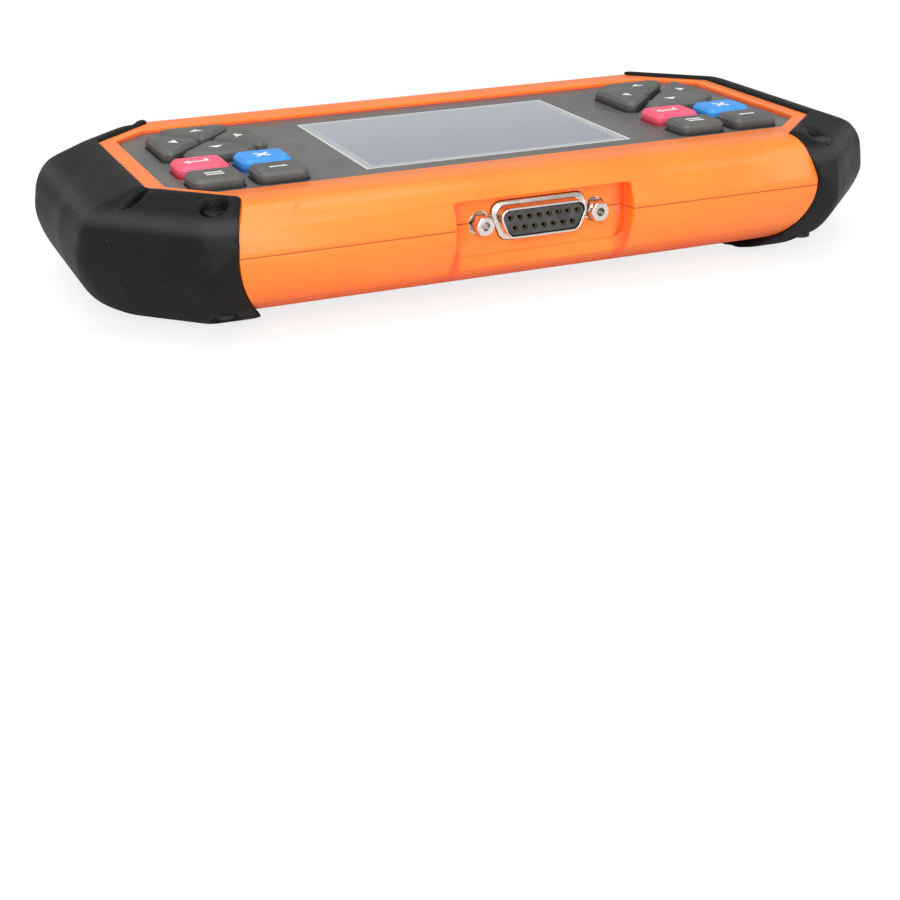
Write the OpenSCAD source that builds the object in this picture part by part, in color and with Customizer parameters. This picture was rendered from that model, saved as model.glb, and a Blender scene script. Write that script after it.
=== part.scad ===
// Handheld diagnostic scanner: two-part housing, rubber end boots, colour
// display, two eight-key pads and a 15-way D connector in a pocket.
// The origin is the middle of the base; +Z is up, X runs along the body and
// the connector looks along -Y.

/* [Housing] */
// Half depth of the housing at its widest
body_hy = 58; // [54:0.5:66]
// Height of the top shoulder above the surface it rests on
shoulder_z = 36; // [34:0.5:42]
// Height of the joint between the two shells
split_z = 23.4; // [20:0.1:26]
// Height of the underside of the lower shell
belly_z = 4.6; // [3.6:0.1:6]
// Wall thickness of the shells
wall = 2.2; // [1.6:0.1:3]
// Radius of the rolled lower flank
flank_r = 20.5; // [16:0.5:21]
// Radius of the rolled shoulder
shoulder_r = 6.5; // [4:0.5:8]
// Width of the rolled shoulder, from the flat rim to the widest line
shoulder_w = 9.2; // [8:0.2:12]
// Length taken off each rim corner
rim_cut = 20; // [15:0.2:24]

/* [Boots] */
// Half length over the boots
boot_hx = 118; // [114:0.5:128]
// How far a boot stands out of the housing's sides
boot_proud = 1.2; // [0.6:0.1:1.6]
// Width of a boot's top at the ends
end_w = 19.8; // [16:0.2:23]
// Width of a boot's top across the corners
corner_w = 15.9; // [13:0.1:19]
// Height of the boot lip round the rim
lip_z = 37; // [35:0.1:43]
// Height of the fold between the top and the flank of a boot
ridge_z = 32.2; // [30:0.2:35]
// Distance of the boot seam from the middle, at the shell joint
seam_x = 83.5; // [80:0.5:88]
// Sweep of the seam towards the middle, per square millimetre of height
seam_sweep = 0.0225; // [0.015:0.0005:0.03]
// Clearance between rubber and shell
boot_gap = 0.15; // [0.1:0.05:0.3]
// Bore over the boot screws
boot_hole_d = 7; // [6:0.2:8]

/* [Faceplate] */
// Width of the rim beyond the faceplate's ends
rim_end_w = 4.8; // [4:0.2:7]
// Width of the rim along the faceplate's sides
rim_side_w = 9.8; // [8:0.2:12]
// Thickness of the faceplate
plate_t = 2; // [1.5:0.1:2.5]
// Depth of the faceplate below the shoulder
plate_drop = 1; // [0.6:0.1:1.5]
// Width of the display window
window_w = 79.2; // [70:0.2:84]
// Depth of the display window
window_h = 59.6; // [50:0.2:64]

/* [Keys] */
// Distance from the faceplate's end to the keys, before the shift
pad_inset = 7.2; // [6.4:0.1:10]
// Shift of both key pads to the left
pad_shift = 1.2; // [0:0.1:2]
// Width of a square key
key_w = 14; // [12:0.2:15.4]
// Depth of a square key
key_d = 12; // [10:0.2:12.8]
// Height of the key tops above the faceplate
key_rise = 3.1; // [2.2:0.1:4]
// Travel of a key
key_travel = 1; // [0.5:0.1:1.2]
// Half width of the arrow pad
arrows_hx = 14.8; // [13.6:0.2:16]
// Half depth of the arrow pad
arrows_hy = 17; // [15:0.2:18]

/* [Connector] */
// Half width of the pocket at its back wall
pocket_hx = 25.6; // [24:0.2:32]
// Depth of the pocket's back wall behind the long side
pocket_depth = 6; // [4:0.2:8]
// Top of the pocket
pocket_z = 30.4; // [29.6:0.2:32]
// Height of the middle of the connector
conn_z = 23.1; // [22.6:0.1:23.6]
// Spacing of the two jackscrews
jack_pitch = 33.3; // [33.3:0.1:33.4]

/* [Hidden] */

$fn = 48;
eps = 0.02;
big = 400;

// outlines that follow from the sizes above
rim_hx = boot_hx - end_w;
rim_hy = body_hy - shoulder_w;
boot_hy = body_hy + boot_proud;
rim_corner = (rim_hx + rim_hy - rim_cut) / sqrt(2);
boot_hd = rim_corner + corner_w;
plate_hx = rim_hx - rim_end_w;
plate_hy = rim_hy - rim_side_w;

// housing form
belly_y = body_hy - flank_r;
flank_z = belly_z + flank_r;
shoulder_lean = 20;
core_step = 2.8;
room_hx = seam_x - 14;
core_hx = boot_hx - 4;
core_hd = boot_hd - 4;
core_top_z = ridge_z - 0.8;
boot_flank_r = 29;
end_flank_r = 20.5;
corner_flank_r = 25;
slope_flank_r = 26;
core_base = flank_z - flank_r + core_step;
lip_w = 3.2;
arc_steps = 9;

// directions that ease the boot corners
eased_a = 22.5;
eased_x = boot_hx * cos(eased_a) + (boot_hd * sqrt(2) - boot_hx) * sin(eased_a);
eased_y = boot_hy * cos(eased_a) + (boot_hd * sqrt(2) - boot_hy) * sin(eased_a) - 0.5;
rim_eased_x = rim_hx * cos(eased_a) + (rim_hy - rim_cut) * sin(eased_a);
rim_eased_y = rim_hy * cos(eased_a) + (rim_hx - rim_cut) * sin(eased_a);

// levels of the stack under the faceplate
plate_z = shoulder_z - plate_drop;
plate_under = plate_z - plate_t;
plate_cut = 10.6;
ledge_t = 1.8;
ledge_w = 3.6;
ledge_cut = 3;
plate_play = 0.1;
key_top = plate_z + key_rise;
key_gap = 0.35;
flange_t = 1.1;
flange_w = 0.6;
dome_h = 0.9;
panel_t = 1.6;
panel_hx = plate_hx - 4.4;
panel_hy = plate_hy - 1.6;
panel_cut = 7;
mat_t = 0.8;
stem_gap = key_travel + 0.15;
panel_top = plate_under - 4.6;
panel_z = panel_top - panel_t;
frame_top = plate_under - 0.3;
lens_t = 1.2;
lens_seat = 2;

// key places, from the middle of a pad
col_gap = 3.2;
pad_x = plate_hx - pad_inset - key_w - col_gap / 2;
row_gap = 2.4;
front_gap = 5;
arrow_gap = 2.4;
col_x = (key_w + col_gap) / 2;
row_one_y = front_gap - plate_hy + key_d / 2;
row_two_y = row_one_y + key_d + row_gap;
arrows_y = row_two_y + key_d / 2 + arrow_gap + arrows_hy - 0.2;
arrow_cut = 7;
stem_r = 2.4;
KEY_ROWS = [["two", -col_x, row_one_y], ["one", col_x, row_one_y],
    ["enter", -col_x, row_two_y], ["escape", col_x, row_two_y]];
ARROWS = [["up", 0, 1], ["down", 0, -1], ["left", -1, 0], ["right", 1, 0]];
arrow_stem_x = 9.6;
arrow_stem_y = 11.4;

// boards
main_t = 1.6;
main_top = conn_z - 6.7;
main_z = main_top - main_t;
main_hx = 66;
main_hy = 44;
pocket_y = body_hy - pocket_depth;
main_front = pocket_y - 4;
post_x = 47.5;
post_y = 34.8;
post_r = 3;
screw_r = 1.3;
low_post_x = 58;
low_post_y = 36;

// connector, inside the shells
pocket_r = 5;
pocket_wall_t = 1.6;
flange_y = pocket_y - pocket_wall_t - 0.1;
flange_depth = 1;
flange_hx = 19.5;
flange_hz = 6.2;
collar_y = pocket_y + 0.6;
shell_face_y = pocket_y + 4.3;
jack_face_y = pocket_y + 4;
shell_wall = 0.6;
jack_flats = 4.75;
pin_pitch = 2.77;
row_pitch = 2.84;
contact_r = 0.8;
contact_bore_r = 0.52;
insulator_back = pocket_y - 9;
top_lead_y = pocket_y - 12.4;
low_lead_y = pocket_y - 9.9;

// screws
slot_l = 10.6;
slot_w = 1.8;
boot_web = 1.2;
screw_play = 0.05;
shank_l = 8.4;
boot_screw_x = rim_hx - 10.2;
boot_screw_y = rim_hy - 0.2;
screw_shift = 1.5;
head_r = 2.9;
head_t = 1.2;
low_screw_x = rim_hx - 12.2;
low_screw_y = belly_y + 7;
boss_l = 10;

function arc(cx, cy, r, a0, a1) =
    [for (i = [0:arc_steps]) let (a = a0 + (a1 - a0) * i / arc_steps) [cx + r * cos(a), cy + r * sin(a)]];
function both_sides(half) =
    concat(half, [for (i = [len(half) - 1:-1:0]) [-half[i][0], half[i][1]]]);

// Half outlines, from the base up: across the housing, and across, along and
// cornerwise over the boots. Each grows outwards by g.
function body_half(g) = concat(
    arc(belly_y, flank_z, flank_r + g, -90, 0),
    arc(rim_hy, shoulder_z - shoulder_r, shoulder_r + g, shoulder_lean, 90));
function core_half(g) = concat(
    arc(belly_y, flank_z, flank_r - core_step + g, -90, 0),
    [[rim_hy + 1.5 + g, core_top_z - 3 + g], [rim_hy - 3 + g, core_top_z + g]]);
function core_end(g) = concat(
    arc(core_hx - end_flank_r + 2, flank_z - 2, end_flank_r - 2 + g, -90, 0),
    [[core_hx - 5 + g, core_top_z - 3 + g], [core_hx - 11 + g, core_top_z + g]]);
function core_corner(g) = concat(
    arc(core_hd - flank_r, flank_z, flank_r + g, -90, 0),
    [[core_hd - 3.5 + g, core_top_z - 3 + g], [core_hd - 9 + g, core_top_z + g]]);
function boot_half() = concat(
    arc(boot_hy - boot_flank_r, boot_flank_r, boot_flank_r, -90, -4),
    [[boot_hy - 2.6, ridge_z - 1.6], [boot_hy - 5.4, ridge_z + 0.9], [rim_hy + 1.2, lip_z]]);
function boot_end() = concat(
    arc(boot_hx - end_flank_r, end_flank_r, end_flank_r, -90, 0),
    [[boot_hx - 1.2, ridge_z - 5.6], [boot_hx - 3.6, ridge_z - 1.2], [boot_hx - 5.6, ridge_z + 0.8],
        [rim_hx + lip_w, lip_z]]);
function boot_corner() = concat(
    arc(boot_hd - corner_flank_r, corner_flank_r, corner_flank_r, -90, -14),
    [[boot_hd - 1.8, ridge_z - 4], [boot_hd - 3.4, ridge_z - 1], [boot_hd - 5.2, ridge_z + 0.8],
        [rim_corner + lip_w, lip_z]]);
// The same between two of those directions, where the corners are eased
function eased_end() = concat(
    arc(eased_x - slope_flank_r, slope_flank_r, slope_flank_r, -90, -16),
    [[eased_x - 1.8, ridge_z - 4.6], [eased_x - 3.6, ridge_z - 1.2], [eased_x - 5.6, ridge_z + 0.8],
        [rim_eased_x + lip_w, lip_z]]);
function eased_side() = concat(
    arc(eased_y - slope_flank_r, slope_flank_r, slope_flank_r, -90, -16),
    [[eased_y - 2.4, ridge_z - 4.6], [eased_y - 4.2, ridge_z - 1.2], [eased_y - 6, ridge_z + 0.8],
        [rim_eased_y + lip_w, lip_z]]);

// Octagon with four cut corners
function octagon(hx, hy, cut) = [[hx, -hy + cut], [hx, hy - cut], [hx - cut, hy], [-hx + cut, hy],
    [-hx, hy - cut], [-hx, -hy + cut], [-hx + cut, -hy], [hx - cut, -hy]];

module along_x(half, length) {
    rotate([90, 0, 90]) translate([0, 0, -length / 2]) linear_extrude(length) polygon(both_sides(half));
}

module along_y(half, length) {
    rotate([90, 0, 0]) translate([0, 0, -length / 2]) linear_extrude(length) polygon(both_sides(half));
}

module form(across, along, corner) {
    intersection() {
        along_x(across, big);
        along_y(along, big);
        rotate(45) along_y(corner, big);
        rotate(-45) along_y(corner, big);
    }
}

// The space between the two boot seams, narrowed by g on both sides
module between_seams(g) {
    seam = [for (i = [0:12]) let (z = -1 + i * (lip_z + 4) / 12)
        [seam_x - g - seam_sweep * pow(z - split_z, 2), z]];
    along_y(seam, big);
}

module beyond_seam(side) {
    difference() {
        translate([side > 0 ? 0 : -big / 2, -big / 2, -1]) cube([big / 2, big, lip_z + 4]);
        between_seams(0);
    }
}

module rim_block(g, z0) {
    translate([0, 0, z0]) linear_extrude(shoulder_z - z0)
        polygon(octagon(rim_hx + g, rim_hy + g, rim_cut));
}

// Outer form of the two shells together
module housing() {
    intersection() {
        along_x(body_half(0), big);
        between_seams(boot_gap);
    }
    form(core_half(0), core_end(0), core_corner(0));
    intersection() {
        rim_block(0, core_top_z - 2);
        along_x(body_half(0), big);
    }
}

// Room inside the shells
module housing_room() {
    ceiling = plate_under - ledge_t;
    form(core_half(-wall), core_end(-wall), core_corner(-wall));
    translate([0, 0, core_top_z - wall - 1]) linear_extrude(ceiling - core_top_z + wall + 1)
        polygon(octagon(rim_hx - wall, rim_hy - wall, rim_cut));
    intersection() {
        along_x(body_half(-wall), 2 * room_hx);
        translate([-room_hx, -body_hy, 0]) cube([2 * room_hx, 2 * body_hy, ceiling]);
    }
}

// Pocket round the connector, open to the front and to the base
module pocket() {
    flare = 2.4;
    depth = boot_hy + 4 - pocket_y;
    r = pocket_r;
    side = arc(pocket_hx - r, 0, r, 70, 0);
    intersection() {
        translate([0, -pocket_y - r, -1]) linear_extrude(pocket_z + 1)
            polygon(concat(
                [[pocket_hx + flare, -depth]],
                [for (i = [arc_steps:-1:0]) side[i]],
                [for (i = [0:arc_steps]) [-side[i][0], side[i][1]]],
                [[-pocket_hx - flare, -depth]]));
        rotate([90, 0, 0]) linear_extrude(big / 2)
            polygon(concat(
                [[-pocket_hx - flare, -1], [pocket_hx + flare, -1]],
                arc(pocket_hx + flare - r, pocket_z - r, r, 0, 90),
                arc(-pocket_hx - flare + r, pocket_z - r, r, 90, 180)));
    }
}

// Opening for the connector and its jackscrews in the pocket wall
module connector_opening() {
    translate([0, -pocket_y - 3, conn_z]) rotate([-90, 0, 0]) linear_extrude(5) {
        d_outline(13.9, 5.5, 3);
        square([jack_pitch, 3], center = true);
        for (s = [-1, 1])
            translate([s * jack_pitch / 2, 0]) circle(r = 3.3);
    }
}

// Wall behind the pocket
module pocket_wall() {
    w = 2 * (pocket_hx + wall);
    h = pocket_z + wall - belly_z;
    intersection() {
        union() {
            translate([-w / 2, -pocket_y, belly_z]) cube([w, pocket_wall_t, h]);
            translate([-w / 2, -body_hy, pocket_z]) cube([w, body_hy - pocket_y + pocket_wall_t, wall]);
            for (s = [-1, 1])
                translate([s * w / 2 - wall - 1, -body_hy, belly_z])
                    cube([2 * wall + 2, body_hy - pocket_y + pocket_wall_t, h]);
        }
        along_x(body_half(-0.4), big);
    }
}

// D-shaped outline of half width hw and half height hh, wide side up
module d_outline(hw, hh, r) {
    lean = hh * tan(10);
    hull()
        for (s = [-1, 1]) {
            translate([s * (hw - r), -hh + r]) circle(r = r, $fn = 32);
            translate([s * (hw - r - 2 * lean), hh - r]) circle(r = r, $fn = 32);
        }
}

module posts(px, py, z0, z1, r) {
    for (sx = [-1, 1], sy = [-1, 1])
        translate([sx * px, sy * py, z0]) cylinder(h = z1 - z0, r = r);
}

// The same for the boot screws, which sit a little to the right
module screw_posts(px, py, z0, z1, r) {
    translate([screw_shift, 0, 0]) posts(px, py, z0, z1, r);
}

module upper_shell() {
    color("darkorange") difference() {
        union() {
            difference() {
                housing();
                housing_room();
            }
            pocket_wall();
            intersection() {
                screw_posts(boot_screw_x, boot_screw_y, core_top_z - boss_l, core_top_z - 1, post_r);
                housing();
            }
        }
        pocket();
        connector_opening();
        translate([0, 0, plate_under]) linear_extrude(plate_drop + plate_t + 1)
            polygon(octagon(plate_hx + plate_play, plate_hy + plate_play, plate_cut));
        translate([0, 0, plate_under - 2 * ledge_t]) linear_extrude(2 * ledge_t + 1)
            polygon(octagon(plate_hx - ledge_w, plate_hy - ledge_w, ledge_cut));
        screw_posts(boot_screw_x, boot_screw_y, core_top_z - boss_l - 1, core_top_z + 2, screw_r);
        translate([-big / 2, -big / 2, -1]) cube([big, big, split_z + 1]);
    }
}
module lower_shell() {
    color("orange") difference() {
        union() {
            difference() {
                housing();
                housing_room();
            }
            pocket_wall();
            posts(low_post_x, low_post_y, belly_z + 1, main_z, post_r);
            intersection() {
                screw_posts(low_screw_x, low_screw_y, core_base + 1, core_base + 1 + boss_l, post_r);
                housing();
            }
        }
        pocket();
        connector_opening();
        posts(low_post_x, low_post_y, belly_z + 3, main_z + 1, screw_r);
        screw_posts(low_screw_x, low_screw_y, core_base - 1, core_base + 2 + boss_l, screw_r);
        translate([-big / 2, -big / 2, split_z]) cube([big, big, 40]);
    }
}

module boot(side) {
    difference() {
        intersection() {
            form(boot_half(), boot_end(), boot_corner());
            rotate(eased_a) along_y(eased_end(), big);
            rotate(-eased_a) along_y(eased_end(), big);
            rotate(eased_a) along_x(eased_side(), big);
            rotate(-eased_a) along_x(eased_side(), big);
            beyond_seam(side);
        }
        form(core_half(boot_gap), core_end(boot_gap), core_corner(boot_gap));
        rim_block(boot_gap, core_top_z - 2);
        translate([0, 0, shoulder_z - eps]) linear_extrude(10)
            polygon(octagon(rim_hx + boot_gap, rim_hy + boot_gap, rim_cut));
        screw_posts(boot_screw_x, boot_screw_y, core_top_z + boot_web, big, boot_hole_d / 2);
        screw_posts(boot_screw_x, boot_screw_y, core_top_z - 6, core_top_z + 2, screw_r + 0.2);
        screw_posts(low_screw_x, low_screw_y, -1, core_base - boot_web, boot_hole_d / 2);
        screw_posts(low_screw_x, low_screw_y, -1, core_base + 4, screw_r + 0.2);
    }
}

module left_boot() {
    color("dimgray") difference() {
        boot(-1);
        translate([-rim_hx - 5.1, -rim_hy + 15.5, ridge_z]) rotate(29)
            translate([-slot_l / 2, -slot_w / 2, 0]) cube([slot_l, slot_w, 8]);
    }
}

module right_boot() {
    color("dimgray") boot(1);
}

module key_holes(g) {
    for (k = KEY_ROWS)
        translate([k[1], k[2]]) square_key(g);
    for (a = ARROWS)
        translate([0, arrows_y]) arrow_key(a, g);
}

module square_key(g) {
    r = 2.6;
    hull()
        for (sx = [-1, 1], sy = [-1, 1])
            translate([sx * (key_w / 2 - r), sy * (key_d / 2 - r)]) circle(r = r + g, $fn = 32);
}

// One of the four arrow keys: a wedge of the pad with rounded corners, an
// even gap along both diagonals and its outer corners cut
module arrow_key(a, g) {
    r = 1.6;
    upright = a[1] == 0;
    wide = upright ? arrows_hx : arrows_hy;
    deep = upright ? arrows_hy : arrows_hx;
    turn = upright ? (a[2] > 0 ? 0 : 180) : -90 * a[1];
    spread = atan(wide / deep);
    side_step = (arrow_gap / 2 + r) / cos(spread);
    shoulder = (deep + wide - arrow_cut - r * sqrt(2) + side_step) / (1 + tan(spread));
    rotate(turn) hull() {
        translate([0, (arrow_gap / 2 + r) / sin(spread)]) circle(r = r + g, $fn = 32);
        for (s = [-1, 1]) {
            translate([s * (wide - arrow_cut - 0.4 * r), deep - r]) circle(r = r + g, $fn = 32);
            translate([s * (shoulder * tan(spread) - side_step), shoulder]) circle(r = r + g, $fn = 32);
        }
    }
}

module faceplate() {
    color("dimgray") difference() {
        translate([0, 0, plate_under]) linear_extrude(plate_t)
            polygon(octagon(plate_hx, plate_hy, plate_cut));
        translate([0, 0, plate_under - 1]) linear_extrude(plate_t + 2)
            square([window_w - 2 * lens_seat, window_h - 2 * lens_seat], center = true);
        translate([0, 0, plate_z - lens_t]) linear_extrude(plate_t)
            square([window_w, window_h], center = true);
        for (s = [-1, 1])
            translate([s * pad_x - pad_shift, 0, plate_under - 1]) linear_extrude(plate_t + 2)
                key_holes(key_gap);
    }
}

module display_window() {
    color("lightsteelblue") translate([0, 0, plate_z - lens_t]) linear_extrude(lens_t)
        square([window_w - 0.2, window_h - 0.2], center = true);
}

module lcd_frame() {
    w = window_w - 2 * lens_seat + 0.8;
    h = window_h - 2 * lens_seat + 8.4;
    color("silver") difference() {
        translate([-w / 2, -h / 2, panel_top]) cube([w, h, frame_top - panel_top]);
        translate([-w / 2 + 1, -h / 2 + 1, panel_top - 1])
            cube([w - 2, h - 2, frame_top - panel_top + 0.2]);
        translate([-w / 2 + 2, -h / 2 + 4.5, panel_top]) cube([w - 4, h - 9, 10]);
    }
}

module lcd_panel() {
    w = window_w - 2 * lens_seat - 1.4;
    h = window_h - 2 * lens_seat + 6.2;
    color("darkslategray") translate([-w / 2, -h / 2, panel_top]) cube([w, h, frame_top - panel_top - 0.8]);
}

module panel_board() {
    color("darkgreen") difference() {
        translate([0, 0, panel_z]) linear_extrude(panel_t) polygon(octagon(panel_hx, panel_hy, panel_cut));
        posts(post_x, post_y, panel_z - 1, panel_top + 1, screw_r);
    }
}

module main_board() {
    color("green") difference() {
        translate([-main_hx, -main_front, main_z]) cube([2 * main_hx, main_front + main_hy, main_t]);
        posts(low_post_x, low_post_y, main_z - 1, main_top + 1, screw_r + 0.2);
        for (i = [0:14])
            translate([contact_x(i), -contact_lead_y(i), main_z - 1]) cylinder(h = main_t + 2, r = 0.55);
    }
}

module keypad_mat(side) {
    color("gray") difference() {
        translate([side * pad_x - pad_shift, 0, panel_top]) linear_extrude(mat_t)
            polygon(octagon(arrows_hx + 1, panel_hy - 3, 4));
        for (p = stem_places())
            translate([side * pad_x - pad_shift + p[0], p[1], panel_top - 1]) cylinder(h = 3, r = 3.4);
    }
}

module left_keypad_mat() {
    keypad_mat(-1);
}

module right_keypad_mat() {
    keypad_mat(1);
}

function stem_places() = concat(
    [for (k = KEY_ROWS) [k[1], k[2]]],
    [for (a = ARROWS) [a[1] * arrow_stem_x, arrows_y + a[2] * arrow_stem_y]]);

module key_domes() {
    color("silver") for (side = [-1, 1], p = stem_places())
        translate([side * pad_x - pad_shift + p[0], p[1], panel_top]) {
            cylinder(h = 0.3, r = 3);
            cylinder(h = dome_h, r = 1.8);
        }
}

module board_spacers() {
    color("silver") difference() {
        posts(post_x, post_y, main_top, panel_z, 2.6);
        posts(post_x, post_y, main_top - 1, panel_z + 1, screw_r);
    }
}

module board_screws() {
    color("silver") for (sx = [-1, 1], sy = [-1, 1])
        translate([sx * low_post_x, sy * low_post_y, main_top]) {
            cylinder(h = 1.8, r = 2.4);
            translate([0, 0, -6]) cylinder(h = 6.2, r = screw_r - 0.05);
        }
}

module board_link() {
    color("black") translate([-14, 33, main_top]) cube([28, 5, panel_z - main_top]);
}

function contact_x(i) = i < 8 ? (i - 3.5) * pin_pitch : (i - 8 - 3) * pin_pitch;
function contact_z(i) = i < 8 ? conn_z + row_pitch / 2 : conn_z - row_pitch / 2;
function contact_lead_y(i) = i < 8 ? top_lead_y : low_lead_y;

module connector_contacts() {
    lead = 0.7;
    color("gold") for (i = [0:14])
        translate([contact_x(i), 0, contact_z(i)]) {
            difference() {
                translate([0, -insulator_back, 0]) rotate([90, 0, 0])
                    cylinder(h = shell_face_y - 1 - insulator_back, r = contact_r);
                translate([0, -insulator_back - 4, 0]) rotate([90, 0, 0])
                    cylinder(h = 12, r = contact_bore_r);
            }
            translate([-lead / 2, -insulator_back - 0.1, -lead / 2])
                cube([lead, insulator_back + 0.1 - contact_lead_y(i) + lead / 2, lead]);
            translate([-lead / 2, -contact_lead_y(i) - lead / 2, main_z - 1 - contact_z(i)])
                cube([lead, lead, contact_z(i) - main_z + 1 + lead / 2]);
        }
}

module connector_insulator() {
    color("black") difference() {
        union() {
            translate([0, -shell_face_y + 0.4, conn_z]) rotate([-90, 0, 0])
                linear_extrude(shell_face_y - 0.4 - flange_y + 1) d_outline(11.5, 3.3, 2.2);
            translate([-12.6, -flange_y + flange_depth, conn_z - 4.6])
                cube([25.2, flange_y - flange_depth - insulator_back, 9.2]);
        }
        for (i = [0:14])
            translate([contact_x(i), -insulator_back + 1, contact_z(i)]) rotate([90, 0, 0])
                cylinder(h = 20, r = contact_r + 0.06);
    }
}

module connector_shell() {
    color("silver") difference() {
        union() {
            translate([-flange_hx, -flange_y, conn_z - flange_hz])
                cube([2 * flange_hx, flange_depth, 2 * flange_hz]);
            translate([0, -collar_y, conn_z]) rotate([-90, 0, 0])
                linear_extrude(collar_y - flange_y + 0.3) d_outline(13.6, 5.2, 2.8);
            translate([0, -shell_face_y, conn_z]) rotate([-90, 0, 0])
                linear_extrude(shell_face_y - flange_y + 0.3) d_outline(12.35, 4.15, 2.6);
        }
        translate([0, -shell_face_y - 1, conn_z]) rotate([-90, 0, 0])
            linear_extrude(shell_face_y - flange_y + 4) d_outline(12.35 - shell_wall, 4.15 - shell_wall, 2);
        for (s = [-1, 1])
            translate([s * jack_pitch / 2, -flange_y + 3, conn_z]) rotate([90, 0, 0])
                cylinder(h = 8, r = 1.5);
    }
}

module connector_brackets() {
    color("silver") for (s = [-1, 1])
        difference() {
            translate([s * jack_pitch / 2 - 3, -flange_y + flange_depth, main_top]) {
                cube([6, 1.2, conn_z + 4 - main_top]);
                cube([6, 8, 1]);
            }
            translate([s * jack_pitch / 2, -flange_y + 4, conn_z]) rotate([90, 0, 0])
                cylinder(h = 6, r = 1.45);
        }
}

module jackscrews() {
    color("gainsboro") for (s = [-1, 1])
        translate([s * jack_pitch / 2, 0, conn_z]) difference() {
            union() {
                translate([0, -flange_y, 0]) rotate([90, 0, 0])
                    cylinder(h = jack_face_y - flange_y, r = jack_flats / sqrt(3), $fn = 6);
                translate([0, -flange_y + 4, 0]) rotate([90, 0, 0]) cylinder(h = 4.4, r = 1.4);
            }
            translate([0, -flange_y - 0.8, 0]) rotate([90, 0, 0]) cylinder(h = 10, r = 1.15);
        }
}

module top_screws() {
    color("silver") for (sx = [-1, 1], sy = [-1, 1])
        translate([sx * boot_screw_x + screw_shift, sy * boot_screw_y, core_top_z + boot_web + screw_play])
            boot_screw();
}

module bottom_screws() {
    color("silver") for (sx = [-1, 1], sy = [-1, 1])
        translate([sx * low_screw_x + screw_shift, sy * low_screw_y, core_base - boot_web - screw_play])
            rotate([180, 0, 0]) boot_screw();
}

// Pan head screw, head up
module boot_screw() {
    cylinder(h = head_t, r = head_r);
    translate([0, 0, -shank_l]) cylinder(h = shank_l + 0.1, r = screw_r - screw_play);
}

// A key: cap with an eased top, retaining flange and stem
module key(side, p) {
    i = search([p], [for (k = KEY_ROWS) k[0]])[0];
    j = search([p], [for (a = ARROWS) a[0]])[0];
    square_one = is_num(i);
    at = square_one ? [KEY_ROWS[i][1], KEY_ROWS[i][2]]
        : [ARROWS[j][1] * arrow_stem_x, arrows_y + ARROWS[j][2] * arrow_stem_y];
    translate([side * pad_x - pad_shift, 0, 0]) {
        hull() {
            translate([0, 0, plate_under]) linear_extrude(key_top - 1 - plate_under)
                key_outline(square_one, i, j, 0);
            translate([0, 0, key_top - 0.3]) linear_extrude(0.3) key_outline(square_one, i, j, -0.9);
        }
        translate([0, 0, plate_under - flange_t]) linear_extrude(flange_t - 0.05)
            key_outline(square_one, i, j, flange_w + key_gap);
        translate([at[0], at[1], panel_top + dome_h + stem_gap])
            cylinder(h = plate_under - panel_top - dome_h - stem_gap, r = stem_r);
    }
}

module key_outline(square_one, i, j, g) {
    if (square_one)
        translate([KEY_ROWS[i][1], KEY_ROWS[i][2]]) square_key(g);
    else
        translate([0, arrows_y]) arrow_key(ARROWS[j], g);
}

upper_shell();
lower_shell();
left_boot();
right_boot();
faceplate();
display_window();
lcd_frame();
lcd_panel();
panel_board();
main_board();
left_keypad_mat();
right_keypad_mat();
key_domes();
board_spacers();
board_screws();
board_link();
connector_shell();
connector_insulator();
connector_contacts();
connector_brackets();
jackscrews();
top_screws();
bottom_screws();
color("dimgray") key(-1, "up");  // left_key_up
color("dimgray") key(-1, "down");  // left_key_down
color("dimgray") key(-1, "left");  // left_key_left
color("dimgray") key(-1, "right");  // left_key_right
color("hotpink") key(-1, "enter");  // left_key_enter
color("dodgerblue") key(-1, "escape");  // left_key_escape
color("dimgray") key(-1, "one");  // left_key_one
color("dimgray") key(-1, "two");  // left_key_two
color("dimgray") key(1, "up");  // right_key_up
color("dimgray") key(1, "down");  // right_key_down
color("dimgray") key(1, "left");  // right_key_left
color("dimgray") key(1, "right");  // right_key_right
color("hotpink") key(1, "enter");  // right_key_enter
color("dodgerblue") key(1, "escape");  // right_key_escape
color("dimgray") key(1, "one");  // right_key_one
color("dimgray") key(1, "two");  // right_key_two
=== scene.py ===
import math

import bpy
from mathutils import Matrix, Vector
from mathutils.bvhtree import BVHTree


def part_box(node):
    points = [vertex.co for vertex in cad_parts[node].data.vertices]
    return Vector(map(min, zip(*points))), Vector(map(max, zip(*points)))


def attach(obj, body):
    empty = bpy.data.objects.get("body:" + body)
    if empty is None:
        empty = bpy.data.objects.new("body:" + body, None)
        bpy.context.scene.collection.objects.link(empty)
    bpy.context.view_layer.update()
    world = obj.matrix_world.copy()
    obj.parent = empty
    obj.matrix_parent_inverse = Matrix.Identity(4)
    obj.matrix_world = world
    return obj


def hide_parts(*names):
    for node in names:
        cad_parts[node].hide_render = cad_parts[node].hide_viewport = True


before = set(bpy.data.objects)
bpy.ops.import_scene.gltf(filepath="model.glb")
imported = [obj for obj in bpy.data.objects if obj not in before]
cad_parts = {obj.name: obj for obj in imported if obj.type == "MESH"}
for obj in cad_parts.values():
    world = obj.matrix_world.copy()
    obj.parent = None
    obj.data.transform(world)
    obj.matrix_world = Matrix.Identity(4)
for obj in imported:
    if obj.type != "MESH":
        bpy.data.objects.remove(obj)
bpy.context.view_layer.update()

# Sizes of the scanner that the looks follow, in metres
BASE_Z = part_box("left_boot")[0].z
SPLIT_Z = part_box("lower_shell")[1].z
SHOULDER_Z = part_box("upper_shell")[1].z
PLATE_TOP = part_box("faceplate")[1].z
WINDOW_LOW, WINDOW_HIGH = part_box("display_window")
POCKET_HX = 0.0256
FOLD_Z = 0.0312
MM = 0.001
SIDES = ("left", "right")

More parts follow.
